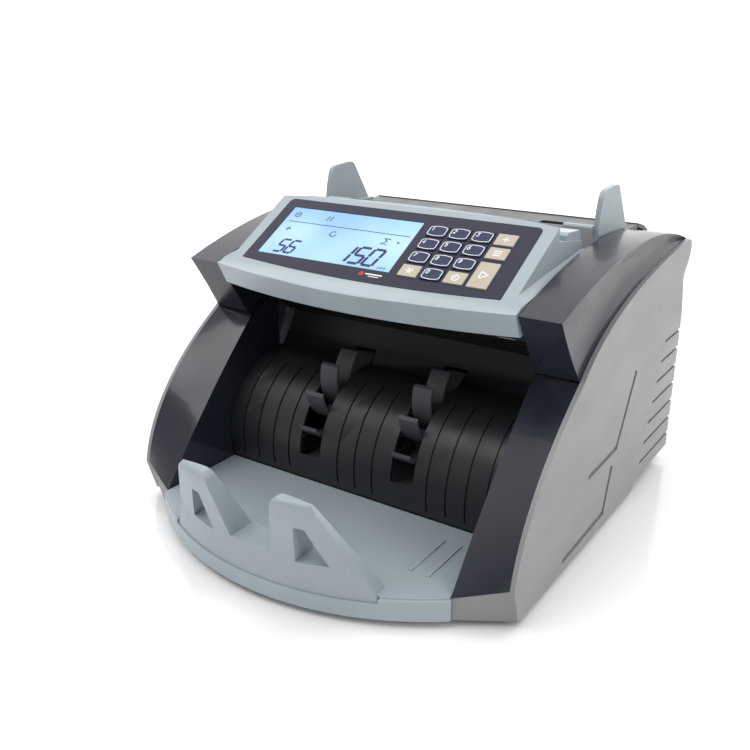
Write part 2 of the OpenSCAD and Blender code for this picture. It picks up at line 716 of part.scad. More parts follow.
module frame_outline() difference() {
    polygon([[56, 6], [212, 6], [212, 118], [196, 146], [150, 146], [112, 130], [66, 96], [56, 70]]);
    for (at = bearing_at) translate(at) circle(8);
    translate([120, 60]) circle(13);
    translate([150, 100]) circle(12);
    for (at = boss_at) translate(at) circle(1.4);
}

module frame_plate() color("#c2c5c8") {
    difference() {
        across(frame_in, frame_in + frame_t) {
            frame_outline();
        }
        bar(3.4, frame_in - 1, frame_in + frame_t + 1, motor_at);
    }
    translate([frame_in - 9, 58, 5.5]) cube([9 + frame_t, 152, 1.5]);
}

rod_at = [[128, 30], [199, 12], [204, 130]];

module cross_rods() color("#c9ccd0") {
    for (at = rod_at) bar(4, -frame_in, frame_in, at);
    bar(3, -frame_in, frame_in, guide_rod_at);
    bar(3, -62, 62, holder_at);
    // Blocks that hold the ends of the pinch shaft under the console
    for (s = [0, 1]) mirror([s, 0, 0]) difference() {
        translate([console_in - 8, pinch_at[0] - 6, pinch_at[1] - 5]) cube([8, 10, 10]);
        bar(3 + fit, console_in - 9, console_in + 1, pinch_at);
    }
}

module base_plate() color("#6d7074") difference() {
    translate([-inner_x, 6, floor_z]) cube([2 * inner_x, 216, base_t]);
    for (x = [-60:12:60]) translate([x - 2, 120, 0]) cube([4, 34, 10]);
    for (x = [-88, 88]) for (y = [22, 206]) translate([x, y, 0]) cylinder(r = 2.5, h = 10);
}

module rubber_feet() color("#1f1f1f") for (x = [-88, 88]) for (y = [22, 206]) translate([x, y, 0]) {
    cylinder(r = 9, h = floor_z);
    cylinder(r = 2.5, h = floor_z + 1.5);
}

// ---------------------------------------------------------------- electrics

module transformer() color("#7d6a3c") {
    translate([-86, 148, 5.5]) cube([50, 46, 4]);
    translate([-82, 151, 9.5 - eps]) cube([42, 40, 40]);
    translate([-90, 158, 16]) cube([58, 26, 27]);
}

module main_board() color("#2d6b46") {
    translate([-92, 206, 62]) cube([124, 1.6, 60]);
    for (x = [-84, -60, -22]) translate([x, 198, 70]) cube([14, 8 + eps, 18]);
    translate([-4, 200, 96]) cube([32, 6 + eps, 16]);
    for (x = [6, 22]) translate([x, 206 + eps, 76]) rotate([90, 0, 0]) cylinder(r = 5, h = 16);
}

// ---------------------------------------------------------------- rear

rear_line = [[bed_rear + 0.8, bed_level - 0.6], [216, 154.8], [224, 151], [227.5, 147.4], [228, 136],
             [219, 125.5], [223.5, 97], [225, 6.5]];
inlet_box = [-74, 16, -14, 46];

module rear_cover() color("#55585e") difference() {
    union() {
        intersection() {
            across(-inner_x, inner_x) strip(rear_line, wall);
            union() {
                translate([-cap_in + 0.4, 190, 6]) cube([2 * cap_in - 0.8, 50, 160]);
                translate([-inner_x, 200, 6]) cube([2 * inner_x, 40, 121]);
            }
        }
        // Dished housing of the carrying handle
        translate([-68, 209, 60]) cube([136, 15, 56]);
    }
    translate([-64, 211, 64]) cube([128, 40, 48]);
    for (s = [-1, 1]) bar(3 + fit, s * 66 - 3, s * 66 + 3, handle_at);
    translate([inlet_box[0], 215, inlet_box[1]])
        cube([inlet_box[2] - inlet_box[0], 20, inlet_box[3] - inlet_box[1]]);
    for (z = [20:7:48]) for (x = [20:9:83]) translate([x, 216, z]) cube([5, 20, 3]);
    for (s = [-1, 1]) for (z = [26, 102]) translate([s * 105, 236, z]) rotate([90, 0, 0])
        cylinder(r = 1.6, h = 30);
}

handle_at = [218, 104];

// Folding handle: two arms on short pins and a round grip.
module carry_handle() color("#26272a") {
    for (s = [-1, 1]) {
        bar(3, s * 64.4 - 3, s * 64.4 + 3, handle_at);
        bar(6, s * 59.5 - 3, s * 59.5 + 3, handle_at);
        translate([s * 59.5 - 3, 213.4, 74]) cube([6, 9.2, 30]);
    }
    bar(5.6, -62.5, 62.5, [218, 74]);
}

// Inlet module: socket with three blades, fuse drawer and switch bezel.
module power_inlet() color("#232325") {
    difference() {
        union() {
            translate([inlet_box[0] + 0.2, 205, inlet_box[1] + 0.2])
                cube([inlet_box[2] - inlet_box[0] - 0.4, 21.6, inlet_box[3] - inlet_box[1] - 0.4]);
            translate([inlet_box[0] - 2, 226.4, inlet_box[1] - 2])
                cube([inlet_box[2] - inlet_box[0] + 4, 2, inlet_box[3] - inlet_box[1] + 4]);
        }
        translate([-70, 211, 23]) cube([25, 20, 17]);
        translate([-33, 214, 19.6]) cube([14.4, 20, 22.8]);
        translate([-43, 227.6, 19]) cube([7, 3, 24]);
    }
    for (b = [[-57.5, 35], [-64.5, 29], [-50.5, 29]])
        translate([b[0] - 1, 210, b[1] - 2]) cube([2, 14, 4]);
}

rocker_at = [223, 31];

// Rocker: both ends slope away from the middle.
module power_rocker() color("#b23327") across(-32.6, -19) translate(rocker_at) {
    intersection() {
        polygon([[-5, -10], [2.4, -10.4], [4.2, 0], [5.2, 10.4], [-5, 10]]);
        circle(11);
    }
}

// Screws that hold the side covers and the rear cover.
module housing_screws() color("#2a2a2c") {
    for (s = [-1, 1]) for (z = [26, 102]) {
        y = z < 90 ? 226.2 : 224.7;
        translate([s * 105, y + 1.8, z]) rotate([90, 0, 0]) cylinder(r = 3, h = 1.8);
        translate([s * 105, y + 1, z]) rotate([90, 0, 0]) cylinder(r = 1.5, h = 12);
    }
}

// ---------------------------------------------------------------- nodes

in_frame() side(-1) side_cover();  // left_side_cover
in_frame() side(1) side_cover();  // right_side_cover
in_frame() side(-1) top_cap();  // left_top_cap
in_frame() side(1) top_cap();  // right_top_cap
in_frame() side(-1) front_pillar();  // left_front_pillar
in_frame() side(1) front_pillar();  // right_front_pillar
in_frame() console_housing();
in_frame() panel_sheet();
in_frame() lcd_module();
in_frame() keypad_board();
in_frame() key("key_0");  // key_0
in_frame() key("key_1");  // key_1
in_frame() key("key_2");  // key_2
in_frame() key("key_3");  // key_3
in_frame() key("key_4");  // key_4
in_frame() key("key_5");  // key_5
in_frame() key("key_6");  // key_6
in_frame() key("key_7");  // key_7
in_frame() key("key_8");  // key_8
in_frame() key("key_9");  // key_9
in_frame() key("key_add");  // key_add
in_frame() key("key_batch");  // key_batch
in_frame() key("key_value");  // key_value
in_frame() key("key_lamp");  // key_lamp
in_frame() key("key_start");  // key_start
in_frame() hopper_bed();
in_frame() side(-1) note_guide();  // left_note_guide
in_frame() side(1) note_guide();  // right_note_guide
in_frame() friction_holder();
in_frame() friction_pad();
in_frame() gap_screw();
in_frame() upper_throat_plate();
in_frame() pocket_back_plate();
in_frame() stacker_tray();
in_frame() stacker_stops();
in_frame() pickup_shaft();
in_frame() pickup_tyres();
in_frame() feed_shaft();
in_frame() feed_tyres();
in_frame() pinch_shaft();
in_frame() pinch_rollers();
in_frame() stacker_shaft();
in_frame() stacker_wheels();
in_frame() shaft_bearings();
in_frame() encoder_disc();
in_frame() drive_belts();
in_frame() drive_motor();
in_frame() motor_pulley();
in_frame() side(-1) frame_plate();  // left_frame
in_frame() side(1) frame_plate();  // right_frame
in_frame() cross_rods();
in_frame() base_plate();
in_frame() rubber_feet();
in_frame() transformer();
in_frame() main_board();
in_frame() rear_cover();
in_frame() power_inlet();
in_frame() power_rocker();
in_frame() carry_handle();
in_frame() housing_screws();
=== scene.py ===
"""Looks of the banknote counting machine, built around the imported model.

The materials, the printed marks and the small fittings are made here. Pieces are
measured in millimetres, and MM turns them into the frame's metres. The camera, the
lights and the floor are placed in metres."""

import json
import math
import random

import bmesh
import bpy
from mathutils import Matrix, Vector
from mathutils.bvhtree import BVHTree


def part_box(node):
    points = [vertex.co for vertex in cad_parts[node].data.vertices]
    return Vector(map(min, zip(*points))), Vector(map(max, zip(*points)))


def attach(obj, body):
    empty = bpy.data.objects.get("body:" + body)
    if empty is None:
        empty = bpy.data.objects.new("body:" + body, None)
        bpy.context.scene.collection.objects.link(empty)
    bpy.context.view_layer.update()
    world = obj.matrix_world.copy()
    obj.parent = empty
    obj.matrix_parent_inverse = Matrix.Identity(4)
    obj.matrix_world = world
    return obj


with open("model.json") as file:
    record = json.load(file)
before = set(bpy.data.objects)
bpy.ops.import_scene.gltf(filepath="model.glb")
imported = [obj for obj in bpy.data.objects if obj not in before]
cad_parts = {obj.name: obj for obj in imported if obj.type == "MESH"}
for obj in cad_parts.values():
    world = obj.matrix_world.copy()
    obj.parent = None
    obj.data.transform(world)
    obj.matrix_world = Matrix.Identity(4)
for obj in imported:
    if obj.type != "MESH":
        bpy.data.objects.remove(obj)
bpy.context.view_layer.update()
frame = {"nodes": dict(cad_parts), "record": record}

MM = 0.001
NODES = frame["nodes"]
RECORD = frame["record"]
BODY = {node: body for body, members in RECORD["behaviour"]["bodies"].items() for node in members}
SLOT = {part["node"]: part["material_slot"] for part in RECORD["subparts"]}
rng = random.Random(7)


# ---------------------------------------------------------------- materials

class Look:
    """A node material that is put together step by step."""

    NOISE_ROUGHNESS = 0.55

    def __init__(self, name):
        self.material = bpy.data.materials.new(name)
        self.material.use_nodes = True
        self.tree = self.material.node_tree
        self.tree.nodes.clear()
        self.out = self.add("ShaderNodeOutputMaterial")
        self.shader = self.add("ShaderNodeBsdfPrincipled")
        self.link(self.shader, "BSDF", self.out, "Surface")
        self.place = self.add("ShaderNodeTexCoord")

    def add(self, kind, **settings):
        node = self.tree.nodes.new(kind)
        for key, value in settings.items():
            setattr(node, key, value)
        return node

    def link(self, source, output, target, socket):
        self.tree.links.new(source.outputs[output], target.inputs[socket])

    def set(self, **values):
        for key, value in values.items():
            self.shader.inputs[key.replace("_", " ")].default_value = value

    def noise(self, scale, detail=3.0, stretch=(1, 1, 1)):
        """Noise over the object's own coordinates; scale is features per metre."""
        mapping = self.add("ShaderNodeMapping")
        mapping.inputs["Scale"].default_value = stretch
        self.link(self.place, "Object", mapping, "Vector")
        noise = self.add("ShaderNodeTexNoise")
        noise.inputs["Scale"].default_value = scale
        noise.inputs["Detail"].default_value = detail
        noise.inputs["Roughness"].default_value = self.NOISE_ROUGHNESS
        self.link(mapping, "Vector", noise, "Vector")
        return noise

    def spread(self, source, low, high):
        """Maps the middle of a texture's range to low..high."""
        ramp = self.add("ShaderNodeMapRange")
        ramp.inputs["From Min"].default_value = 0.3
        ramp.inputs["From Max"].default_value = 0.7
        ramp.inputs["To Min"].default_value = low
        ramp.inputs["To Max"].default_value = high
        self.link(source, "Fac", ramp, "Value")
        return ramp

    def colours(self, source, low, high, start=0.3, end=0.7):
        """Blends two colours where a texture runs from start to end."""
        ramp = self.add("ShaderNodeValToRGB")
        ramp.color_ramp.elements[0].position = start
        ramp.color_ramp.elements[1].position = end
        ramp.color_ramp.elements[0].color = (*low, 1)
        ramp.color_ramp.elements[1].color = (*high, 1)
        self.link(source, "Fac", ramp, "Fac")
        return ramp

    def bump(self, source, strength, depth):
        """Raises the surface by a texture; depth is in millimetres."""
        bump = self.add("ShaderNodeBump")
        bump.inputs["Strength"].default_value = strength
        bump.inputs["Distance"].default_value = depth * MM
        self.link(source, "Fac", bump, "Height")
        self.link(bump, "Normal", self.shader, "Normal")


def shade(colour, factor):
    return tuple(min(1.0, c * factor) for c in colour)


def plastic(name, colour, rough, grain=0.25, cell=0.55, coat=0.0, specular=0.5):
    """Moulded plastic: spark-eroded grain, faint mottling and slightly uneven gloss."""
    mottle = 0.04
    look = Look(name)
    look.set(Specular_IOR_Level=specular, Coat_Weight=coat, Coat_Roughness=0.06)
    clouds = look.noise(scale=26, detail=4)
    tint = look.colours(clouds, shade(colour, 1 - mottle), shade(colour, 1 + mottle))
    look.link(tint, "Color", look.shader, "Base Color")
    wiped = look.noise(scale=55, detail=5, stretch=(1, 0.35, 1))
    gloss = look.spread(wiped, rough - 0.05, rough + 0.06)
    look.link(gloss, "Result", look.shader, "Roughness")
    fine = look.noise(scale=1 / (cell * MM), detail=2)
    look.bump(fine, strength=grain, depth=0.06)
    return look


def metal(name, colour, rough, brushed=(1, 60, 60)):
    """Bare or plated metal: brushing along X, uneven gloss and faint stains."""
    stain = 0.06
    look = Look(name)
    look.set(Metallic=1.0)
    stains = look.noise(scale=70, detail=6)
    tint = look.colours(stains, shade(colour, 1 - stain), shade(colour, 1 + stain))
    look.link(tint, "Color", look.shader, "Base Color")
    lines = look.noise(scale=120, detail=4, stretch=brushed)
    gloss = look.spread(lines, rough - 0.08, rough + 0.1)
    look.link(gloss, "Result", look.shader, "Roughness")
    look.bump(lines, strength=0.3, depth=0.05)
    return look


def rubber(name, colour):
    """Rubber: matt, dusty in patches, with a fine grain."""
    rough = 0.75
    look = Look(name)
    look.set(Specular_IOR_Level=0.35)
    dust = look.noise(scale=90, detail=6)
    tint = look.colours(dust, shade(colour, 0.85), shade(colour, 1.9), start=0.45, end=0.8)
    look.link(tint, "Color", look.shader, "Base Color")
    gloss = look.spread(dust, rough - 0.08, rough + 0.1)
    look.link(gloss, "Result", look.shader, "Roughness")
    look.bump(look.noise(scale=1600, detail=3), strength=0.35, depth=0.08)
    return look


def painted(name, colour, rough=0.45):
    """Painted or lacquered metal: a soft orange-peel skin."""
    look = Look(name)
    look.set(Specular_IOR_Level=0.5)
    clouds = look.noise(scale=40, detail=4)
    tint = look.colours(clouds, shade(colour, 0.93), shade(colour, 1.07))
    look.link(tint, "Color", look.shader, "Base Color")
    gloss = look.spread(look.noise(scale=90, detail=4), rough - 0.06, rough + 0.08)
    look.link(gloss, "Result", look.shader, "Roughness")
    look.bump(look.noise(scale=700, detail=1), strength=0.25, depth=0.12)
    return look


def board(name):
    """Circuit board: solder mask with faint copper tracks under it."""
    look = Look(name)
    look.set(Specular_IOR_Level=0.5, Roughness=0.32)
    tracks = look.add("ShaderNodeTexBrick")
    tracks.inputs["Color1"].default_value = (0.015, 0.12, 0.05, 1)
    tracks.inputs["Color2"].default_value = (0.02, 0.16, 0.07, 1)
    tracks.inputs["Mortar"].default_value = (0.04, 0.24, 0.1, 1)
    tracks.inputs["Scale"].default_value = 160
    tracks.inputs["Mortar Size"].default_value = 0.03
    look.link(look.place, "Object", tracks, "Vector")
    look.link(tracks, "Color", look.shader, "Base Color")
    look.bump(tracks, strength=0.2, depth=0.05)
    return look


def screen(name):
    """Backlit display: pale blue with a soft brighter patch, under a smooth face."""
    look = Look(name)
    look.set(Specular_IOR_Level=0.3, Roughness=0.16, Emission_Strength=0.34)
    glow = look.noise(scale=16, detail=1)
    tint = look.colours(glow, (0.20, 0.37, 0.60), (0.42, 0.62, 0.80), start=0.35, end=0.68)
    look.link(tint, "Color", look.shader, "Base Color")
    look.link(tint, "Color", look.shader, "Emission Color")
    look.bump(look.noise(scale=2500, detail=1), strength=0.05, depth=0.02)
    return look


def ink(name, colour, rough=0.5):
    """Printed ink: flat colour with a slightly broken gloss."""
    look = Look(name)
    look.set(Specular_IOR_Level=0.4)
    specks = look.noise(scale=900, detail=2)
    tint = look.colours(specks, shade(colour, 0.94), shade(colour, 1.04))
    look.link(tint, "Color", look.shader, "Base Color")
    gloss = look.spread(specks, rough - 0.05, rough + 0.05)
    look.link(gloss, "Result", look.shader, "Roughness")
    look.bump(specks, strength=0.08, depth=0.02)
    return look


def windings(name):
    """Varnished laminations and copper: thin layers stacked along Y."""
    look = Look(name)
    look.set(Metallic=0.4)
    layers = look.add("ShaderNodeTexWave", wave_type="BANDS", bands_direction="Y")
    layers.inputs["Scale"].default_value = 420
    layers.inputs["Distortion"].default_value = 0.6
    look.link(look.place, "Object", layers, "Vector")
    tint = look.colours(layers, (0.10, 0.075, 0.035), (0.26, 0.19, 0.08))
    look.link(tint, "Color", look.shader, "Base Color")
    gloss = look.spread(look.noise(scale=60), 0.3, 0.5)
    look.link(gloss, "Result", look.shader, "Roughness")
    look.bump(layers, strength=0.3, depth=0.2)
    return look


CHARCOAL = (0.014, 0.016, 0.026)

# The material of each slot in the record: its name, its colour and its roughness
LOOKS = {
    "side_grey": plastic("SideGrey", (0.235, 0.232, 0.24), 0.4, grain=0.3, specular=0.4),
    "cap_charcoal": plastic("CapCharcoal", CHARCOAL, 0.26, grain=0.04, coat=0.15, specular=0.32),
    "pillar_charcoal": plastic("PillarCharcoal", CHARCOAL, 0.2, grain=0.04, coat=0.25, specular=0.3),
    "shell_light": plastic("HousingLight", (0.32, 0.375, 0.41), 0.34, grain=0.2),
    "panel_navy": plastic("PanelNavy", (0.024, 0.026, 0.046), 0.38, grain=0.15, cell=0.3,
                          specular=0.22),
    "lcd_blue": screen("DisplayBlue"),
    "key_navy": plastic("KeyNavy", (0.024, 0.034, 0.078), 0.42, grain=0.2, cell=0.4,
                        specular=0.25),
    "key_beige": plastic("KeyBeige", (0.47, 0.41, 0.33), 0.45, grain=0.2, cell=0.4, specular=0.3),
    "board_green": board("BoardGreen"),
    "bed_black": plastic("BedBlack", (0.03, 0.032, 0.036), 0.4, grain=0.35, cell=0.8),
    "guide_grey": plastic("GuideGrey", (0.30, 0.35, 0.38), 0.36, grain=0.2),
    "plated_steel": metal("PlatedSteel", (0.60, 0.61, 0.62), 0.32),
    "shaft_steel": metal("ShaftSteel", (0.68, 0.69, 0.70), 0.2, brushed=(1, 90, 90)),
    "pad_rubber": rubber("PadRubber", (0.22, 0.045, 0.03)),
    "tyre_rubber": rubber("TyreRubber", (0.02, 0.02, 0.021)),
    "belt_rubber": rubber("BeltRubber", (0.015, 0.015, 0.015)),
    "foot_rubber": rubber("FootRubber", (0.018, 0.018, 0.018)),
    "knob_black": plastic("KnobBlack", (0.02, 0.02, 0.023), 0.4),
    "throat_black": plastic("ThroatBlack", (0.008, 0.008, 0.009), 0.5, grain=0.35, specular=0.3),
    "back_plate_dark": plastic("BackPlateDark", (0.014, 0.015, 0.018), 0.36, grain=0.3, specular=0.35),
    "roller_grey": plastic("RollerGrey", (0.10, 0.10, 0.108), 0.45),
    "wheel_grey": plastic("WheelGrey", (0.055, 0.058, 0.066), 0.5, specular=0.35),
    "encoder_metal": painted("EncoderMetal", (0.05, 0.05, 0.055)),
    "motor_metal": painted("MotorMetal", (0.34, 0.35, 0.37), 0.35),
    "pulley_aluminium": metal("PulleyAluminium", (0.72, 0.73, 0.74), 0.28),
    "base_steel": painted("BaseSteel", (0.13, 0.135, 0.145)),
    "transformer_iron": windings("TransformerIron"),
    "rear_grey": plastic("RearGrey", (0.05, 0.053, 0.06), 0.42, grain=0.35, cell=0.8, specular=0.4),
    "inlet_black": plastic("InletBlack", (0.012, 0.012, 0.014), 0.3),
    "rocker_red": plastic("RockerRed", (0.42, 0.02, 0.015), 0.22, grain=0.05, coat=0.4),
    "handle_black": plastic("HandleBlack", (0.016, 0.016, 0.018), 0.5, grain=0.5, cell=0.9),
    "screw_black": metal("ScrewBlack", (0.08, 0.08, 0.085), 0.35),
}

WHITE_INK = ink("WhiteInk", (0.80, 0.82, 0.86))
DISPLAY_INK = ink("DisplayInk", (0.014, 0.016, 0.11), 0.3)
ACCENT_INK = ink("AccentInk", (0.55, 0.02, 0.02))
# Near-black ink: printed bars and marks, and painted shade in the screws' cross recesses
DARK_INK_AND_SLOT_SHADE = ink("DarkInkAndSlotShade", (0.006, 0.006, 0.007), 0.7)
LABEL_SILVER = painted("LabelSilver", (0.55, 0.56, 0.57), 0.3)


# Width of the rounded edges on each kind of moulding, in millimetres
EDGES = {
    "side_grey": 0.6, "cap_charcoal": 0.8, "pillar_charcoal": 0.5, "shell_light": 0.7,
    "guide_grey": 0.9, "key_navy": 0.2, "key_beige": 0.2, "rear_grey": 0.5,
    "handle_black": 0.8, "inlet_black": 0.3, "rocker_red": 0.4, "bed_black": 0.3,
    "back_plate_dark": 0.25, "knob_black": 0.25, "plated_steel": 0.2, "motor_metal": 0.5,
    "base_steel": 0.2, "foot_rubber": 0.5, "tyre_rubber": 0.1, "transformer_iron": 0.4,
}


SMOOTH_BELOW = math.radians(32)
BEVEL_ABOVE = math.radians(38)


def make_smoother():
    """A node group that joins split vertices and shades smooth up to a fixed angle."""
    group = bpy.data.node_groups.new("smooth_by_angle", "GeometryNodeTree")
    group.interface.new_socket("Geometry", in_out="INPUT", socket_type="NodeSocketGeometry")
    group.interface.new_socket("Geometry", in_out="OUTPUT", socket_type="NodeSocketGeometry")
    start = group.nodes.new("NodeGroupInput")
    join = group.nodes.new("GeometryNodeMergeByDistance")
    join.inputs["Distance"].default_value = 0.01 * MM
    plain = group.nodes.new("GeometryNodeRemoveAttribute")
    plain.inputs["Name"].default_value = "custom_normal"
    faces = group.nodes.new("GeometryNodeSetShadeSmooth")
    faces.inputs["Shade Smooth"].default_value = True
    angle = group.nodes.new("GeometryNodeInputMeshEdgeAngle")
    sharp = group.nodes.new("FunctionNodeCompare")
    sharp.data_type = "FLOAT"
    sharp.operation = "GREATER_THAN"
    sharp.inputs["B"].default_value = SMOOTH_BELOW
    edges = group.nodes.new("GeometryNodeSetShadeSmooth")
    edges.domain = "EDGE"
    edges.inputs["Shade Smooth"].default_value = False
    end = group.nodes.new("NodeGroupOutput")
    chain = [start, join, plain, faces, edges, end]
    for before, after in zip(chain, chain[1:]):
        group.links.new(before.outputs[0], after.inputs[0])
    group.links.new(angle.outputs["Unsigned Angle"], sharp.inputs["A"])
    group.links.new(sharp.outputs["Result"], edges.inputs["Selection"])
    return group


SMOOTHER = make_smoother()


def dress(node):
    """Gives a CAD node its material and, where its slot has one, softened edges."""
    piece = NODES[node]
    look = LOOKS[SLOT[node]].material
    if not piece.material_slots:
        piece.data.materials.append(look)
    for slot in piece.material_slots:
        slot.material = look
    width = EDGES.get(SLOT[node])
    if width is None:
        return
    smooth = piece.modifiers.new("smooth", "NODES")
    smooth.node_group = SMOOTHER
    bevel = piece.modifiers.new("soft_edges", "BEVEL")
    bevel.width = width * MM
    bevel.segments = 2
    bevel.limit_method = "ANGLE"
    bevel.angle_limit = BEVEL_ABOVE
    bevel.use_clamp_overlap = True
    bevel.harden_normals = True


for name in NODES:
    dress(name)


# ---------------------------------------------------------------- making pieces

def add_piece(name, mesh, body, look):
    """Puts a finished mesh into the scene, on a body and with the given material."""
    piece = bpy.data.objects.new(name, mesh)
    bpy.context.scene.collection.objects.link(piece)
    mesh.materials.append(look.material)
    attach(piece, body)


def prism(bm, outline, to_space, low, high):
    """A closed prism over a flat outline; to_space places (x, y, lift)."""
    bottom = [bm.verts.new(to_space(x, y, low)) for x, y in outline]
    top = [bm.verts.new(to_space(x, y, high)) for x, y in outline]
    bm.faces.new(list(reversed(bottom)))
    bm.faces.new(top)
    count = len(outline)
    for i in range(count):
        j = (i + 1) % count
        bm.faces.new([bottom[i], bottom[j], top[j], top[i]])


def ribbon(points, width, closed=False):
    """Left and right edges of a mitred ribbon along flat points."""
    count = len(points)
    left, right = [], []
    for i, point in enumerate(points):
        here = Vector(point)
        before = Vector(points[i - 1]) if i or closed else None
        after = Vector(points[(i + 1) % count]) if i < count - 1 or closed else None
        into = (here - before).normalized() if before is not None else None
        away = (after - here).normalized() if after is not None else into
        into = into if into is not None else away
        both = into + away
        side = Vector((-both.y, both.x)) * width / max(both.length_squared, 0.6)
        left.append(here + side)
        right.append(here - side)
    return left, right


def ribbon_solid(bm, points, width, to_space, low, high, closed=False):
    """A thin closed solid that follows a line of flat points."""
    left, right = ribbon(points, width, closed)
    if not closed:
        outline = [tuple(p) for p in right] + [tuple(p) for p in reversed(left)]
        prism(bm, outline, to_space, low, high)
        return
    rings = [[bm.verts.new(to_space(p.x, p.y, z)) for p in edge]
             for edge, z in ((right, low), (right, high), (left, high), (left, low))]
    count = len(points)
    for a in range(4):
        b = (a + 1) % 4
        for i in range(count):
            j = (i + 1) % count
            bm.faces.new([rings[a][i], rings[a][j], rings[b][j], rings[b][i]])


def finish_mesh(name, bm):
    """Turns the faces outward and makes the mesh."""
    bmesh.ops.recalc_face_normals(bm, faces=bm.faces)
    mesh = bpy.data.meshes.new(name)
    bm.to_mesh(mesh)
    bm.free()
    return mesh


def arc(x, y, radius, start, end, steps=14):
    """Points of an arc, with its angles in degrees."""
    turns = [math.radians(start + (end - start) * i / steps) for i in range(steps + 1)]
    return [(x + radius * math.cos(t), y + radius * math.sin(t)) for t in turns]


# ---------------------------------------------------------------- control panel

# Slope of the console, and the thickness and length up the slope of the printed sheet
TILT = math.radians(29.6)
SHEET_T = 0.8 * MM
PANEL_LENGTH = 54.4
UP_SLOPE = Vector((0, math.cos(TILT), math.sin(TILT)))
OUTWARD = Vector((0, -math.sin(TILT), math.cos(TILT)))
sheet_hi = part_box("panel_sheet")[1]
PANEL_TOP = Vector((0, sheet_hi.y - SHEET_T * math.sin(TILT), sheet_hi.z))


def on_panel(x, y, lift):
    """A point over the panel sheet: x across, y up the slope, lift off its face."""
    across = Vector((x * MM, 0, 0))
    return PANEL_TOP + across + UP_SLOPE * (y - PANEL_LENGTH) * MM + OUTWARD * lift * MM


def panel_range(node):
    """Lowest and highest x, y and lift of a CAD node, over the panel."""
    spots = []
    for vertex in NODES[node].data.vertices:
        away = vertex.co - PANEL_TOP
        up = away.dot(UP_SLOPE) / MM + PANEL_LENGTH
        spots.append((away.x / MM, up, away.dot(OUTWARD) / MM))
    axes = list(zip(*spots))
    return [min(axis) for axis in axes], [max(axis) for axis in axes]


# Printed marks run from just under the surface to the top of the ink
INK_FOOT = -0.02
INK_T = 0.04
# Strokes of the digits on a grid 2 wide and 4 high
DIGIT_STROKES = {
    "0": [[(0, 0.5), (0, 3.5), (0.5, 4), (1.5, 4), (2, 3.5), (2, 0.5), (1.5, 0), (0.5, 0),
           (0, 0.6)]],
    "1": [[(0.5, 3.2), (1.2, 4), (1.2, 0)]],
    "2": [[(0, 3.3), (0.5, 4), (1.5, 4), (2, 3.4), (2, 2.6), (0, 0), (2.1, 0)]],
    "3": [[(0, 4), (2, 4), (1, 2.4), (1.6, 2.2), (2, 1.6), (2, 0.6), (1.5, 0), (0.5, 0), (0, 0.5)]],
    "4": [[(1.6, 0), (1.6, 4), (0, 1.3), (2.2, 1.3)]],
    "5": [[(2, 4), (0.2, 4), (0.1, 2.3), (1.4, 2.4), (2, 1.8), (2, 0.6), (1.4, 0), (0, 0.1)]],
    "6": [[(1.8, 4), (0.7, 3.4), (0, 2), (0, 0.6), (0.5, 0), (1.5, 0), (2, 0.6), (2, 1.6),
           (1.5, 2.2), (0.1, 2)]],
    "7": [[(0, 4), (2, 4), (0.8, 0)]],
    "8": [[(1, 2.1), (0.2, 2.7), (0.2, 3.5), (0.7, 4), (1.3, 4), (1.8, 3.5), (1.8, 2.7), (1, 2.1),
           (0, 1.4), (0, 0.5), (0.5, 0), (1.5, 0), (2, 0.5), (2, 1.4), (1.1, 2)]],
    "9": [[(0.2, 0), (1.3, 0.6), (2, 2), (2, 3.4), (1.5, 4), (0.5, 4), (0, 3.4), (0, 2.4),
           (0.5, 1.8), (1.9, 2)]],
}
# Sideways lean of the digits for each unit of height
SLANT = 0.2


def strokes_at(strokes, x, y, height):
    """Strokes from the digit grid, slanted and placed over the panel."""
    unit = height / 4
    return [[(x + (px + py * SLANT) * unit, y + py * unit) for px, py in line] for line in strokes]


def symbol(kind):
    """Strokes of a function key's symbol about the key's centre, in millimetres."""
    if kind == "key_add":
        return [[(-2.0, 0), (2.0, 0)], [(0, -2.0), (0, 2.0)]]
    if kind == "key_batch":
        return [[(-2.3, y), (2.3, y)] for y in (-1.6, 0, 1.6)]
    if kind == "key_value":
        return [arc(0, 0, 1.9, 0, 350), [(-0.8, 0), (0.8, 0)]]
    if kind == "key_lamp":
        rays = [[(1.5 * math.cos(t), 1.5 * math.sin(t)), (2.4 * math.cos(t), 2.4 * math.sin(t))]
                for t in (math.radians(60 * i) for i in range(6))]
        return [arc(0, 0, 0.9, 0, 350)] + rays
    return [[(-1.7, -2.5), (2.4, 0), (-1.7, 2.5), (-1.7, -2.2)]]


# A key's ends bow outward by KEY_BOW; the printed outline cuts its corners by CORNER_X
# and CORNER_Y, and reaches CORNER_RISE of the bow there
KEY_BOW = 0.9
CORNER_X = 0.5
CORNER_Y = 0.6
CORNER_RISE = 0.86
# The skirt around a key's top face, at the sides and at the ends
SKIRT_X = 0.6
SKIRT_Y = 0.5
OUTLINE_INSET = 0.45
OUTLINE_LINE = 0.42
DIGIT_HEIGHT = 2.5
DIGIT_LINE = 0.45
SYMBOL_LINE = 0.6
# From the top face's left and upper edges to a digit's lower left corner
DIGIT_LEFT = 1.6
DIGIT_DROP = 4.2


def key_outline(width, height, inset):
    """The bowed outline of a key, with its corners cut."""
    half_w, half_h = width / 2 - inset, height / 2 - inset
    steps = 8
    top = [(half_w * (1 - 2 * i / steps), half_h - KEY_BOW * (1 - 2 * i / steps) ** 2)
           for i in range(steps + 1)]
    top[0] = (half_w - CORNER_X, half_h - KEY_BOW * CORNER_RISE)
    top[-1] = (CORNER_X - half_w, half_h - KEY_BOW * CORNER_RISE)
    corner = half_h - KEY_BOW - CORNER_Y
    right = [(half_w, -corner), (half_w, corner)]
    bottom = [(-x, -y) for x, y in top]
    left = [(-half_w, corner), (-half_w, -corner)]
    return right + top + left + bottom


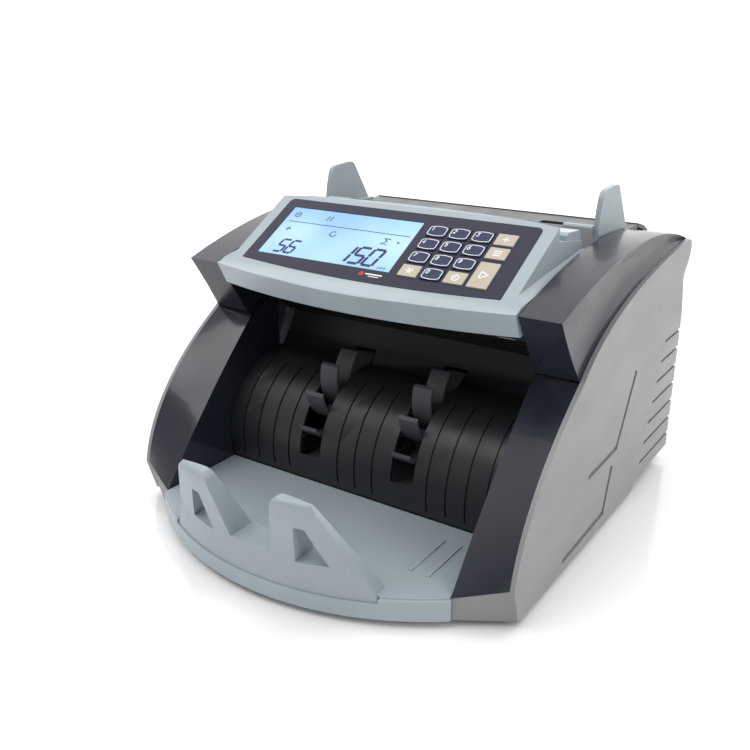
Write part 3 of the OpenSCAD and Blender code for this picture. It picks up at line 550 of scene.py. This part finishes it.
def dress_key(node):
    """Prints a digit and a white outline, or a symbol, on a key."""
    low, high = panel_range(node)
    middle = ((low[0] + high[0]) / 2, (low[1] + high[1]) / 2)
    width = high[0] - low[0] - 2 * SKIRT_X
    height = high[1] - low[1] - 2 * SKIRT_Y
    name = node.split("_")[1]

    def over_key(x, y, lift):
        return on_panel(x + middle[0], y + middle[1], lift + high[2])

    bm = bmesh.new()
    if name.isdigit():
        outline = key_outline(width, height, OUTLINE_INSET)
        ribbon_solid(bm, outline, OUTLINE_LINE, over_key, INK_FOOT, INK_T, closed=True)
        thick = DIGIT_LINE
        lines = strokes_at(DIGIT_STROKES[name], DIGIT_LEFT - width / 2, height / 2 - DIGIT_DROP,
                           DIGIT_HEIGHT)
    else:
        thick = SYMBOL_LINE
        lines = symbol(node)
    for line in lines:
        ribbon_solid(bm, line, thick, over_key, INK_FOOT, INK_T)
    add_piece("mark_" + name, finish_mesh("mark_" + name, bm), BODY[node], WHITE_INK)


for name in NODES:
    if name.startswith("key_"):
        dress_key(name)


# ---------------------------------------------------------------- display

# The field of the display that is seen, inside the edges of its glass
glass_lo, glass_hi = panel_range("lcd_module")
INSET_X = 3.0
INSET_Y = 2.5
VIEW_LEFT = glass_lo[0] + INSET_X
VIEW_RIGHT = glass_hi[0] - INSET_X
VIEW_LOW = glass_lo[1] + INSET_Y
VIEW_HIGH = glass_hi[1] - INSET_Y
GLASS_TOP = glass_hi[2]
# The lit bars of each digit, lettered as in segment()
LIT = {"0": "abcdef", "1": "bc", "5": "acdfg", "6": "acdefg"}
# From one digit to the next, in digit widths
DIGIT_PITCH = 1.36
# Height of the ruled line, as a share of the field
RULE_V = 0.70
RULE_LINE = 0.5
ICON_SCALE = 1.35
ICON_LINE = 0.65


def on_display(u, v):
    """A point of the display from shares of its width and height."""
    return VIEW_LEFT + u * (VIEW_RIGHT - VIEW_LEFT), VIEW_LOW + v * (VIEW_HIGH - VIEW_LOW)


def segment(kind, width, height):
    """Ends of one of a digit's seven bars, from its lower left corner."""
    cut = 0.3
    half = height / 2
    ends = {
        "a": ((cut, height), (width - cut, height)), "d": ((cut, 0), (width - cut, 0)),
        "g": ((cut, half), (width - cut, half)), "b": ((width, half + cut), (width, height - cut)),
        "c": ((width, cut), (width, half - cut)), "e": ((0, cut), (0, half - cut)),
        "f": ((0, half + cut), (0, height - cut)),
    }
    return ends[kind]


def number(bm, text, u, v, width, height, thick):
    """Seven-segment digits on the display, slanted to the right."""
    x0, y0 = on_display(u, v)
    for place, digit in enumerate(text):
        for kind in LIT[digit]:
            ends = [(x0 + place * width * DIGIT_PITCH + x + y * SLANT, y0 + y)
                    for x, y in segment(kind, width, height)]
            ribbon_solid(bm, ends, thick, on_panel, GLASS_TOP, GLASS_TOP + INK_T)


def display_marks():
    """Two numbers, a ruled line and small icons on the display."""
    bm = bmesh.new()
    number(bm, "56", u=0.10, v=0.06, width=5.4, height=10.4, thick=1.5)
    number(bm, "150", u=0.58, v=0.06, width=6.8, height=13.0, thick=1.9)
    rule = [on_display(0.035, RULE_V), on_display(0.975, RULE_V)]
    ribbon_solid(bm, rule, RULE_LINE, on_panel, GLASS_TOP, GLASS_TOP + INK_T)
    barred_ring = [arc(0, 0, 1.4, 0, 350), [(-0.6, 0), (0.7, 0)]]
    two_bars = [[(-1.2, -1.5), (-0.6, 1.5)], [(0.6, -1.5), (1.2, 1.5)]]
    plus = [[(-1.5, 0), (1.5, 0)], [(-0.25, -1.5), (0.25, 1.5)]]
    open_ring = [arc(0, 0, 1.5, 60, 360)]
    total_sign = [[(1.5, 1.6), (-1.2, 1.6), (0.4, 0), (-1.8, -1.6), (1.2, -1.6)]]
    three_ticks = [[(x, -0.6), (x + 0.7, 0.6)] for x in (-1.4, 0, 1.4)]
    icons = [(barred_ring, 0.07, 0.85), (two_bars, 0.33, 0.85), (plus, 0.08, 0.54),
             (open_ring, 0.44, 0.55), (total_sign, 0.84, 0.55), (three_ticks, 0.93, 0.05)]
    for lines, u, v in icons:
        x, y = on_display(u, v)
        for line in lines:
            moved = [(x + ICON_SCALE * px, y + ICON_SCALE * py) for px, py in line]
            ribbon_solid(bm, moved, ICON_LINE, on_panel, GLASS_TOP, GLASS_TOP + INK_T)
    x, y = on_display(0.925, 0.55)
    arrow_head = [(x - 1, y + 0.8), (x, y - 0.9), (x + 1.3, y + 0.8)]
    prism(bm, arrow_head, on_panel, GLASS_TOP, GLASS_TOP + INK_T)
    add_piece("display_marks", finish_mesh("display_marks", bm), BODY["lcd_module"], DISPLAY_INK)


display_marks()


def panel_badge():
    """A small red disc and two white bars under the display."""
    bm = bmesh.new()
    disc = arc(0, 2.0, 1.5, 0, 345, 23)
    prism(bm, disc, on_panel, INK_FOOT, INK_T)
    add_piece("badge_disc", finish_mesh("badge_disc", bm), BODY["panel_sheet"], ACCENT_INK)
    bm = bmesh.new()
    for x0, x1, y, thick in ((2.4, 13, 2.3, 0.9), (5.0, 11.5, 0.7, 0.5)):
        ribbon_solid(bm, [(x0, y), (x1, y)], thick, on_panel, INK_FOOT, INK_T)
    add_piece("badge_bars", finish_mesh("badge_bars", bm), BODY["panel_sheet"], WHITE_INK)


panel_badge()


# ---------------------------------------------------------------- labels and small fittings

# Rays at the rear cover start this far back, and rays at the console this far up
BEHIND = 180
ABOVE = 200


def skin_of(node, start, direction, right):
    """Maps (x, y, lift) in millimetres onto a node's skin, where a ray from start meets it."""
    mesh = NODES[node].data
    tree = BVHTree.FromPolygons([v.co for v in mesh.vertices], [p.vertices for p in mesh.polygons])
    spot, normal, _, _ = tree.ray_cast(Vector(start) * MM, Vector(direction))
    right = (Vector(right) - normal * normal.dot(Vector(right))).normalized()
    up = normal.cross(right)

    def place(x, y, lift):
        return spot + (right * x + up * y + normal * lift) * MM

    return place


def oblong(x0, y0, x1, y1):
    """Corners of a rectangle."""
    return [(x0, y0), (x1, y0), (x1, y1), (x0, y1)]


def stick_on(name, node, place, shapes, low, high, look):
    """Thin raised shapes on a node's skin, that ride with its body."""
    bm = bmesh.new()
    for shape in shapes:
        prism(bm, shape, place, low, high)
    add_piece(name, finish_mesh(name, bm), BODY[node], look)


def rear_label():
    """Silver rating label: bars in place of its text, a bar pattern and a dark square."""
    half_w, half_h, film = 12, 13, 0.1
    left, foot, code_top = 1.5 - half_w, 1.5 - half_h, -5
    place = skin_of("rear_cover", (2.5, BEHIND, 35), (0, -1, 0), (-1, 0, 0))
    film_shape = oblong(-half_w, -half_h, half_w, half_h)
    stick_on("rating_label", "rear_cover", place, [film_shape], INK_FOOT, film, LABEL_SILVER)
    bars = [oblong(left, y, left + rng.uniform(11, 20), y + 1) for y in (9.5, 6.8, 4.1, 1.4, -1.3)]
    x = left
    while x < 1.5:
        width = rng.uniform(0.3, 1.0)
        bars.append(oblong(x, foot, x + width, code_top))
        x += width + rng.uniform(0.4, 1.0)
    bars.append(oblong(4.5, foot, -left, code_top))
    stick_on("rating_bars", "rear_cover", place, bars, film + INK_FOOT, film + INK_T, DARK_INK_AND_SLOT_SHADE)


def screw_slots():
    """Cross recesses in the four rear screws, as thin raised near-black crosses: painted shade."""
    head_radius, arm, half_width = 3, 1.7, 0.35
    cross = [oblong(-arm, -half_width, arm, half_width), oblong(-half_width, -arm, half_width, arm)]
    low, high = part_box("housing_screws")
    for i, x in enumerate((low.x / MM + head_radius, high.x / MM - head_radius)):
        for j, z in enumerate((low.z / MM + head_radius, high.z / MM - head_radius)):
            place = skin_of("housing_screws", (x, BEHIND, z), (0, -1, 0), (1, 0, 0))
            name = "screw_slot_%d%d" % (i, j)
            # The near-black crosses are painted shade that stands in for the depth of the recesses
            stick_on(name, "housing_screws", place, cross, -0.04, 0.02, DARK_INK_AND_SLOT_SHADE)


def switch_marks():
    """The bar and the ring on the mains rocker."""
    mark_t, from_middle = 0.05, 5
    low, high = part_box("power_rocker")
    x, z = (low.x + high.x) / 2 / MM, (low.z + high.z) / 2 / MM
    over = skin_of("power_rocker", (x, BEHIND, z + from_middle), (0, -1, 0), (-1, 0, 0))
    bar = oblong(-0.35, -1.8, 0.35, 1.8)
    stick_on("rocker_bar", "power_rocker", over, [bar], INK_FOOT, mark_t, WHITE_INK)
    under = skin_of("power_rocker", (x, BEHIND, z - from_middle), (0, -1, 0), (-1, 0, 0))
    bm = bmesh.new()
    ribbon_solid(bm, arc(0, 0, 1.7, 0, 345, 23), 0.6, under, INK_FOOT, mark_t, closed=True)
    add_piece("rocker_ring", finish_mesh("rocker_ring", bm), BODY["power_rocker"], WHITE_INK)


def throat_clip():
    """Bright steel leaf on the throat plate, under the right end of the console."""
    clip_x, clip_z, in_front = 81, 122, 20
    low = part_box("upper_throat_plate")[0]
    start = (clip_x, low.y / MM - in_front, clip_z)
    place = skin_of("upper_throat_plate", start, (0, 1, 0), (1, 0, 0))
    leaf = oblong(-5, -0.7, 5, 0.7)
    stick_on("throat_clip", "upper_throat_plate", place, [leaf], -0.05, 0.25, LOOKS["shaft_steel"])


def knob_marks():
    """Plus and minus beside the gap knob, for a wider or a narrower gap."""
    beside, bar, upright = 14, oblong(-1.6, -0.3, 1.6, 0.3), oblong(-0.3, -1.6, 0.3, 1.6)
    low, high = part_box("gap_screw")
    x, y = (low.x + high.x) / 2 / MM, (low.y + high.y) / 2 / MM
    for name, side, marks in (("wider", 1, [bar, upright]), ("closer", -1, [bar])):
        place = skin_of("console_housing", (x + side * beside, y, ABOVE), (0, 0, -1), (1, 0, 0))
        stick_on("gap_" + name, "console_housing", place, marks, INK_FOOT, INK_T, DARK_INK_AND_SLOT_SHADE)


rear_label()
screw_slots()
switch_marks()
throat_clip()
knob_marks()


# ---------------------------------------------------------------- camera, light, floor

CAMERA_PLACE = (0.2615, -0.4111, 0.2607)
CAMERA_PITCH = 69.29
CAMERA_TURN = 34.18
FOCAL_LENGTH = 41.96
SENSOR_WIDTH = 36
CENTRE = (0, 0, 0.1)
# The surround brightens from its dim to its bright value towards this side
BRIGHT_SIDE = (-0.56, 0.83, 0)
DIM_VALUE = 0.42
BRIGHT_VALUE = 1.75
FLOOR_HALF = 12.0


def make_camera():
    """The camera at the height and angle of the product view."""
    data = bpy.data.cameras.new("camera")
    camera = bpy.data.objects.new("camera", data)
    bpy.context.scene.collection.objects.link(camera)
    camera.location = CAMERA_PLACE
    camera.rotation_euler = (math.radians(CAMERA_PITCH), 0, math.radians(CAMERA_TURN))
    data.sensor_width = SENSOR_WIDTH
    data.lens = FOCAL_LENGTH
    data.clip_start = 0.01
    bpy.context.scene.camera = camera


def make_light(name, place, size, power, diffuse=True, glossy=True):
    """A rectangular soft box that faces the machine."""
    data = bpy.data.lights.new(name, "AREA")
    data.shape = "RECTANGLE"
    data.size, data.size_y = size
    data.energy = power
    lamp = bpy.data.objects.new(name, data)
    bpy.context.scene.collection.objects.link(lamp)
    lamp.location = place
    lamp.rotation_euler = (Vector(CENTRE) - Vector(place)).to_track_quat("-Z", "Y").to_euler()
    lamp.visible_diffuse, lamp.visible_glossy = diffuse, glossy


def make_studio():
    """Soft boxes, a card for the reflection in the dark caps, and the surround."""
    make_light("key", (-0.5, -0.9, 1.5), size=(0.9, 0.6), power=7)
    make_light("overhead", (0.1, 0.4, 1.4), size=(1.2, 0.6), power=5, glossy=False)
    make_light("side_card", (1.26, 0.82, 0.6), size=(0.7, 0.7), power=9, diffuse=False)
    make_light("right", (1.5, -0.3, 0.9), size=(0.6, 0.9), power=6)
    world = bpy.data.worlds.new("studio")
    world.use_nodes = True
    nodes, links = world.node_tree.nodes, world.node_tree.links
    place = nodes.new("ShaderNodeTexCoord")
    toward = nodes.new("ShaderNodeVectorMath")
    toward.operation = "DOT_PRODUCT"
    toward.inputs[1].default_value = BRIGHT_SIDE
    level = nodes.new("ShaderNodeMapRange")
    level.inputs["From Min"].default_value = -1
    level.inputs["To Min"].default_value = DIM_VALUE
    level.inputs["To Max"].default_value = BRIGHT_VALUE
    links.new(place.outputs["Generated"], toward.inputs[0])
    links.new(toward.outputs["Value"], level.inputs["Value"])
    links.new(level.outputs["Result"], nodes["Background"].inputs["Color"])
    nodes["Background"].inputs["Strength"].default_value = 1.0
    bpy.context.scene.world = world
    bpy.context.scene.view_settings.view_transform = "Standard"


def make_floor():
    """A pale glossy floor that reflects the machine softly."""
    bm = bmesh.new()
    for x, y in oblong(-FLOOR_HALF, -FLOOR_HALF, FLOOR_HALF, FLOOR_HALF):
        bm.verts.new((x, y, 0))
    bm.faces.new(list(bm.verts))
    mesh = finish_mesh("floor", bm)
    floor = bpy.data.objects.new("floor", mesh)
    bpy.context.scene.collection.objects.link(floor)
    look = Look("FloorWhite")
    look.set(Base_Color=(0.93, 0.93, 0.93, 1), Specular_IOR_Level=0.7, Roughness=0.12)
    mesh.materials.append(look.material)


make_camera()
make_studio()
make_floor()
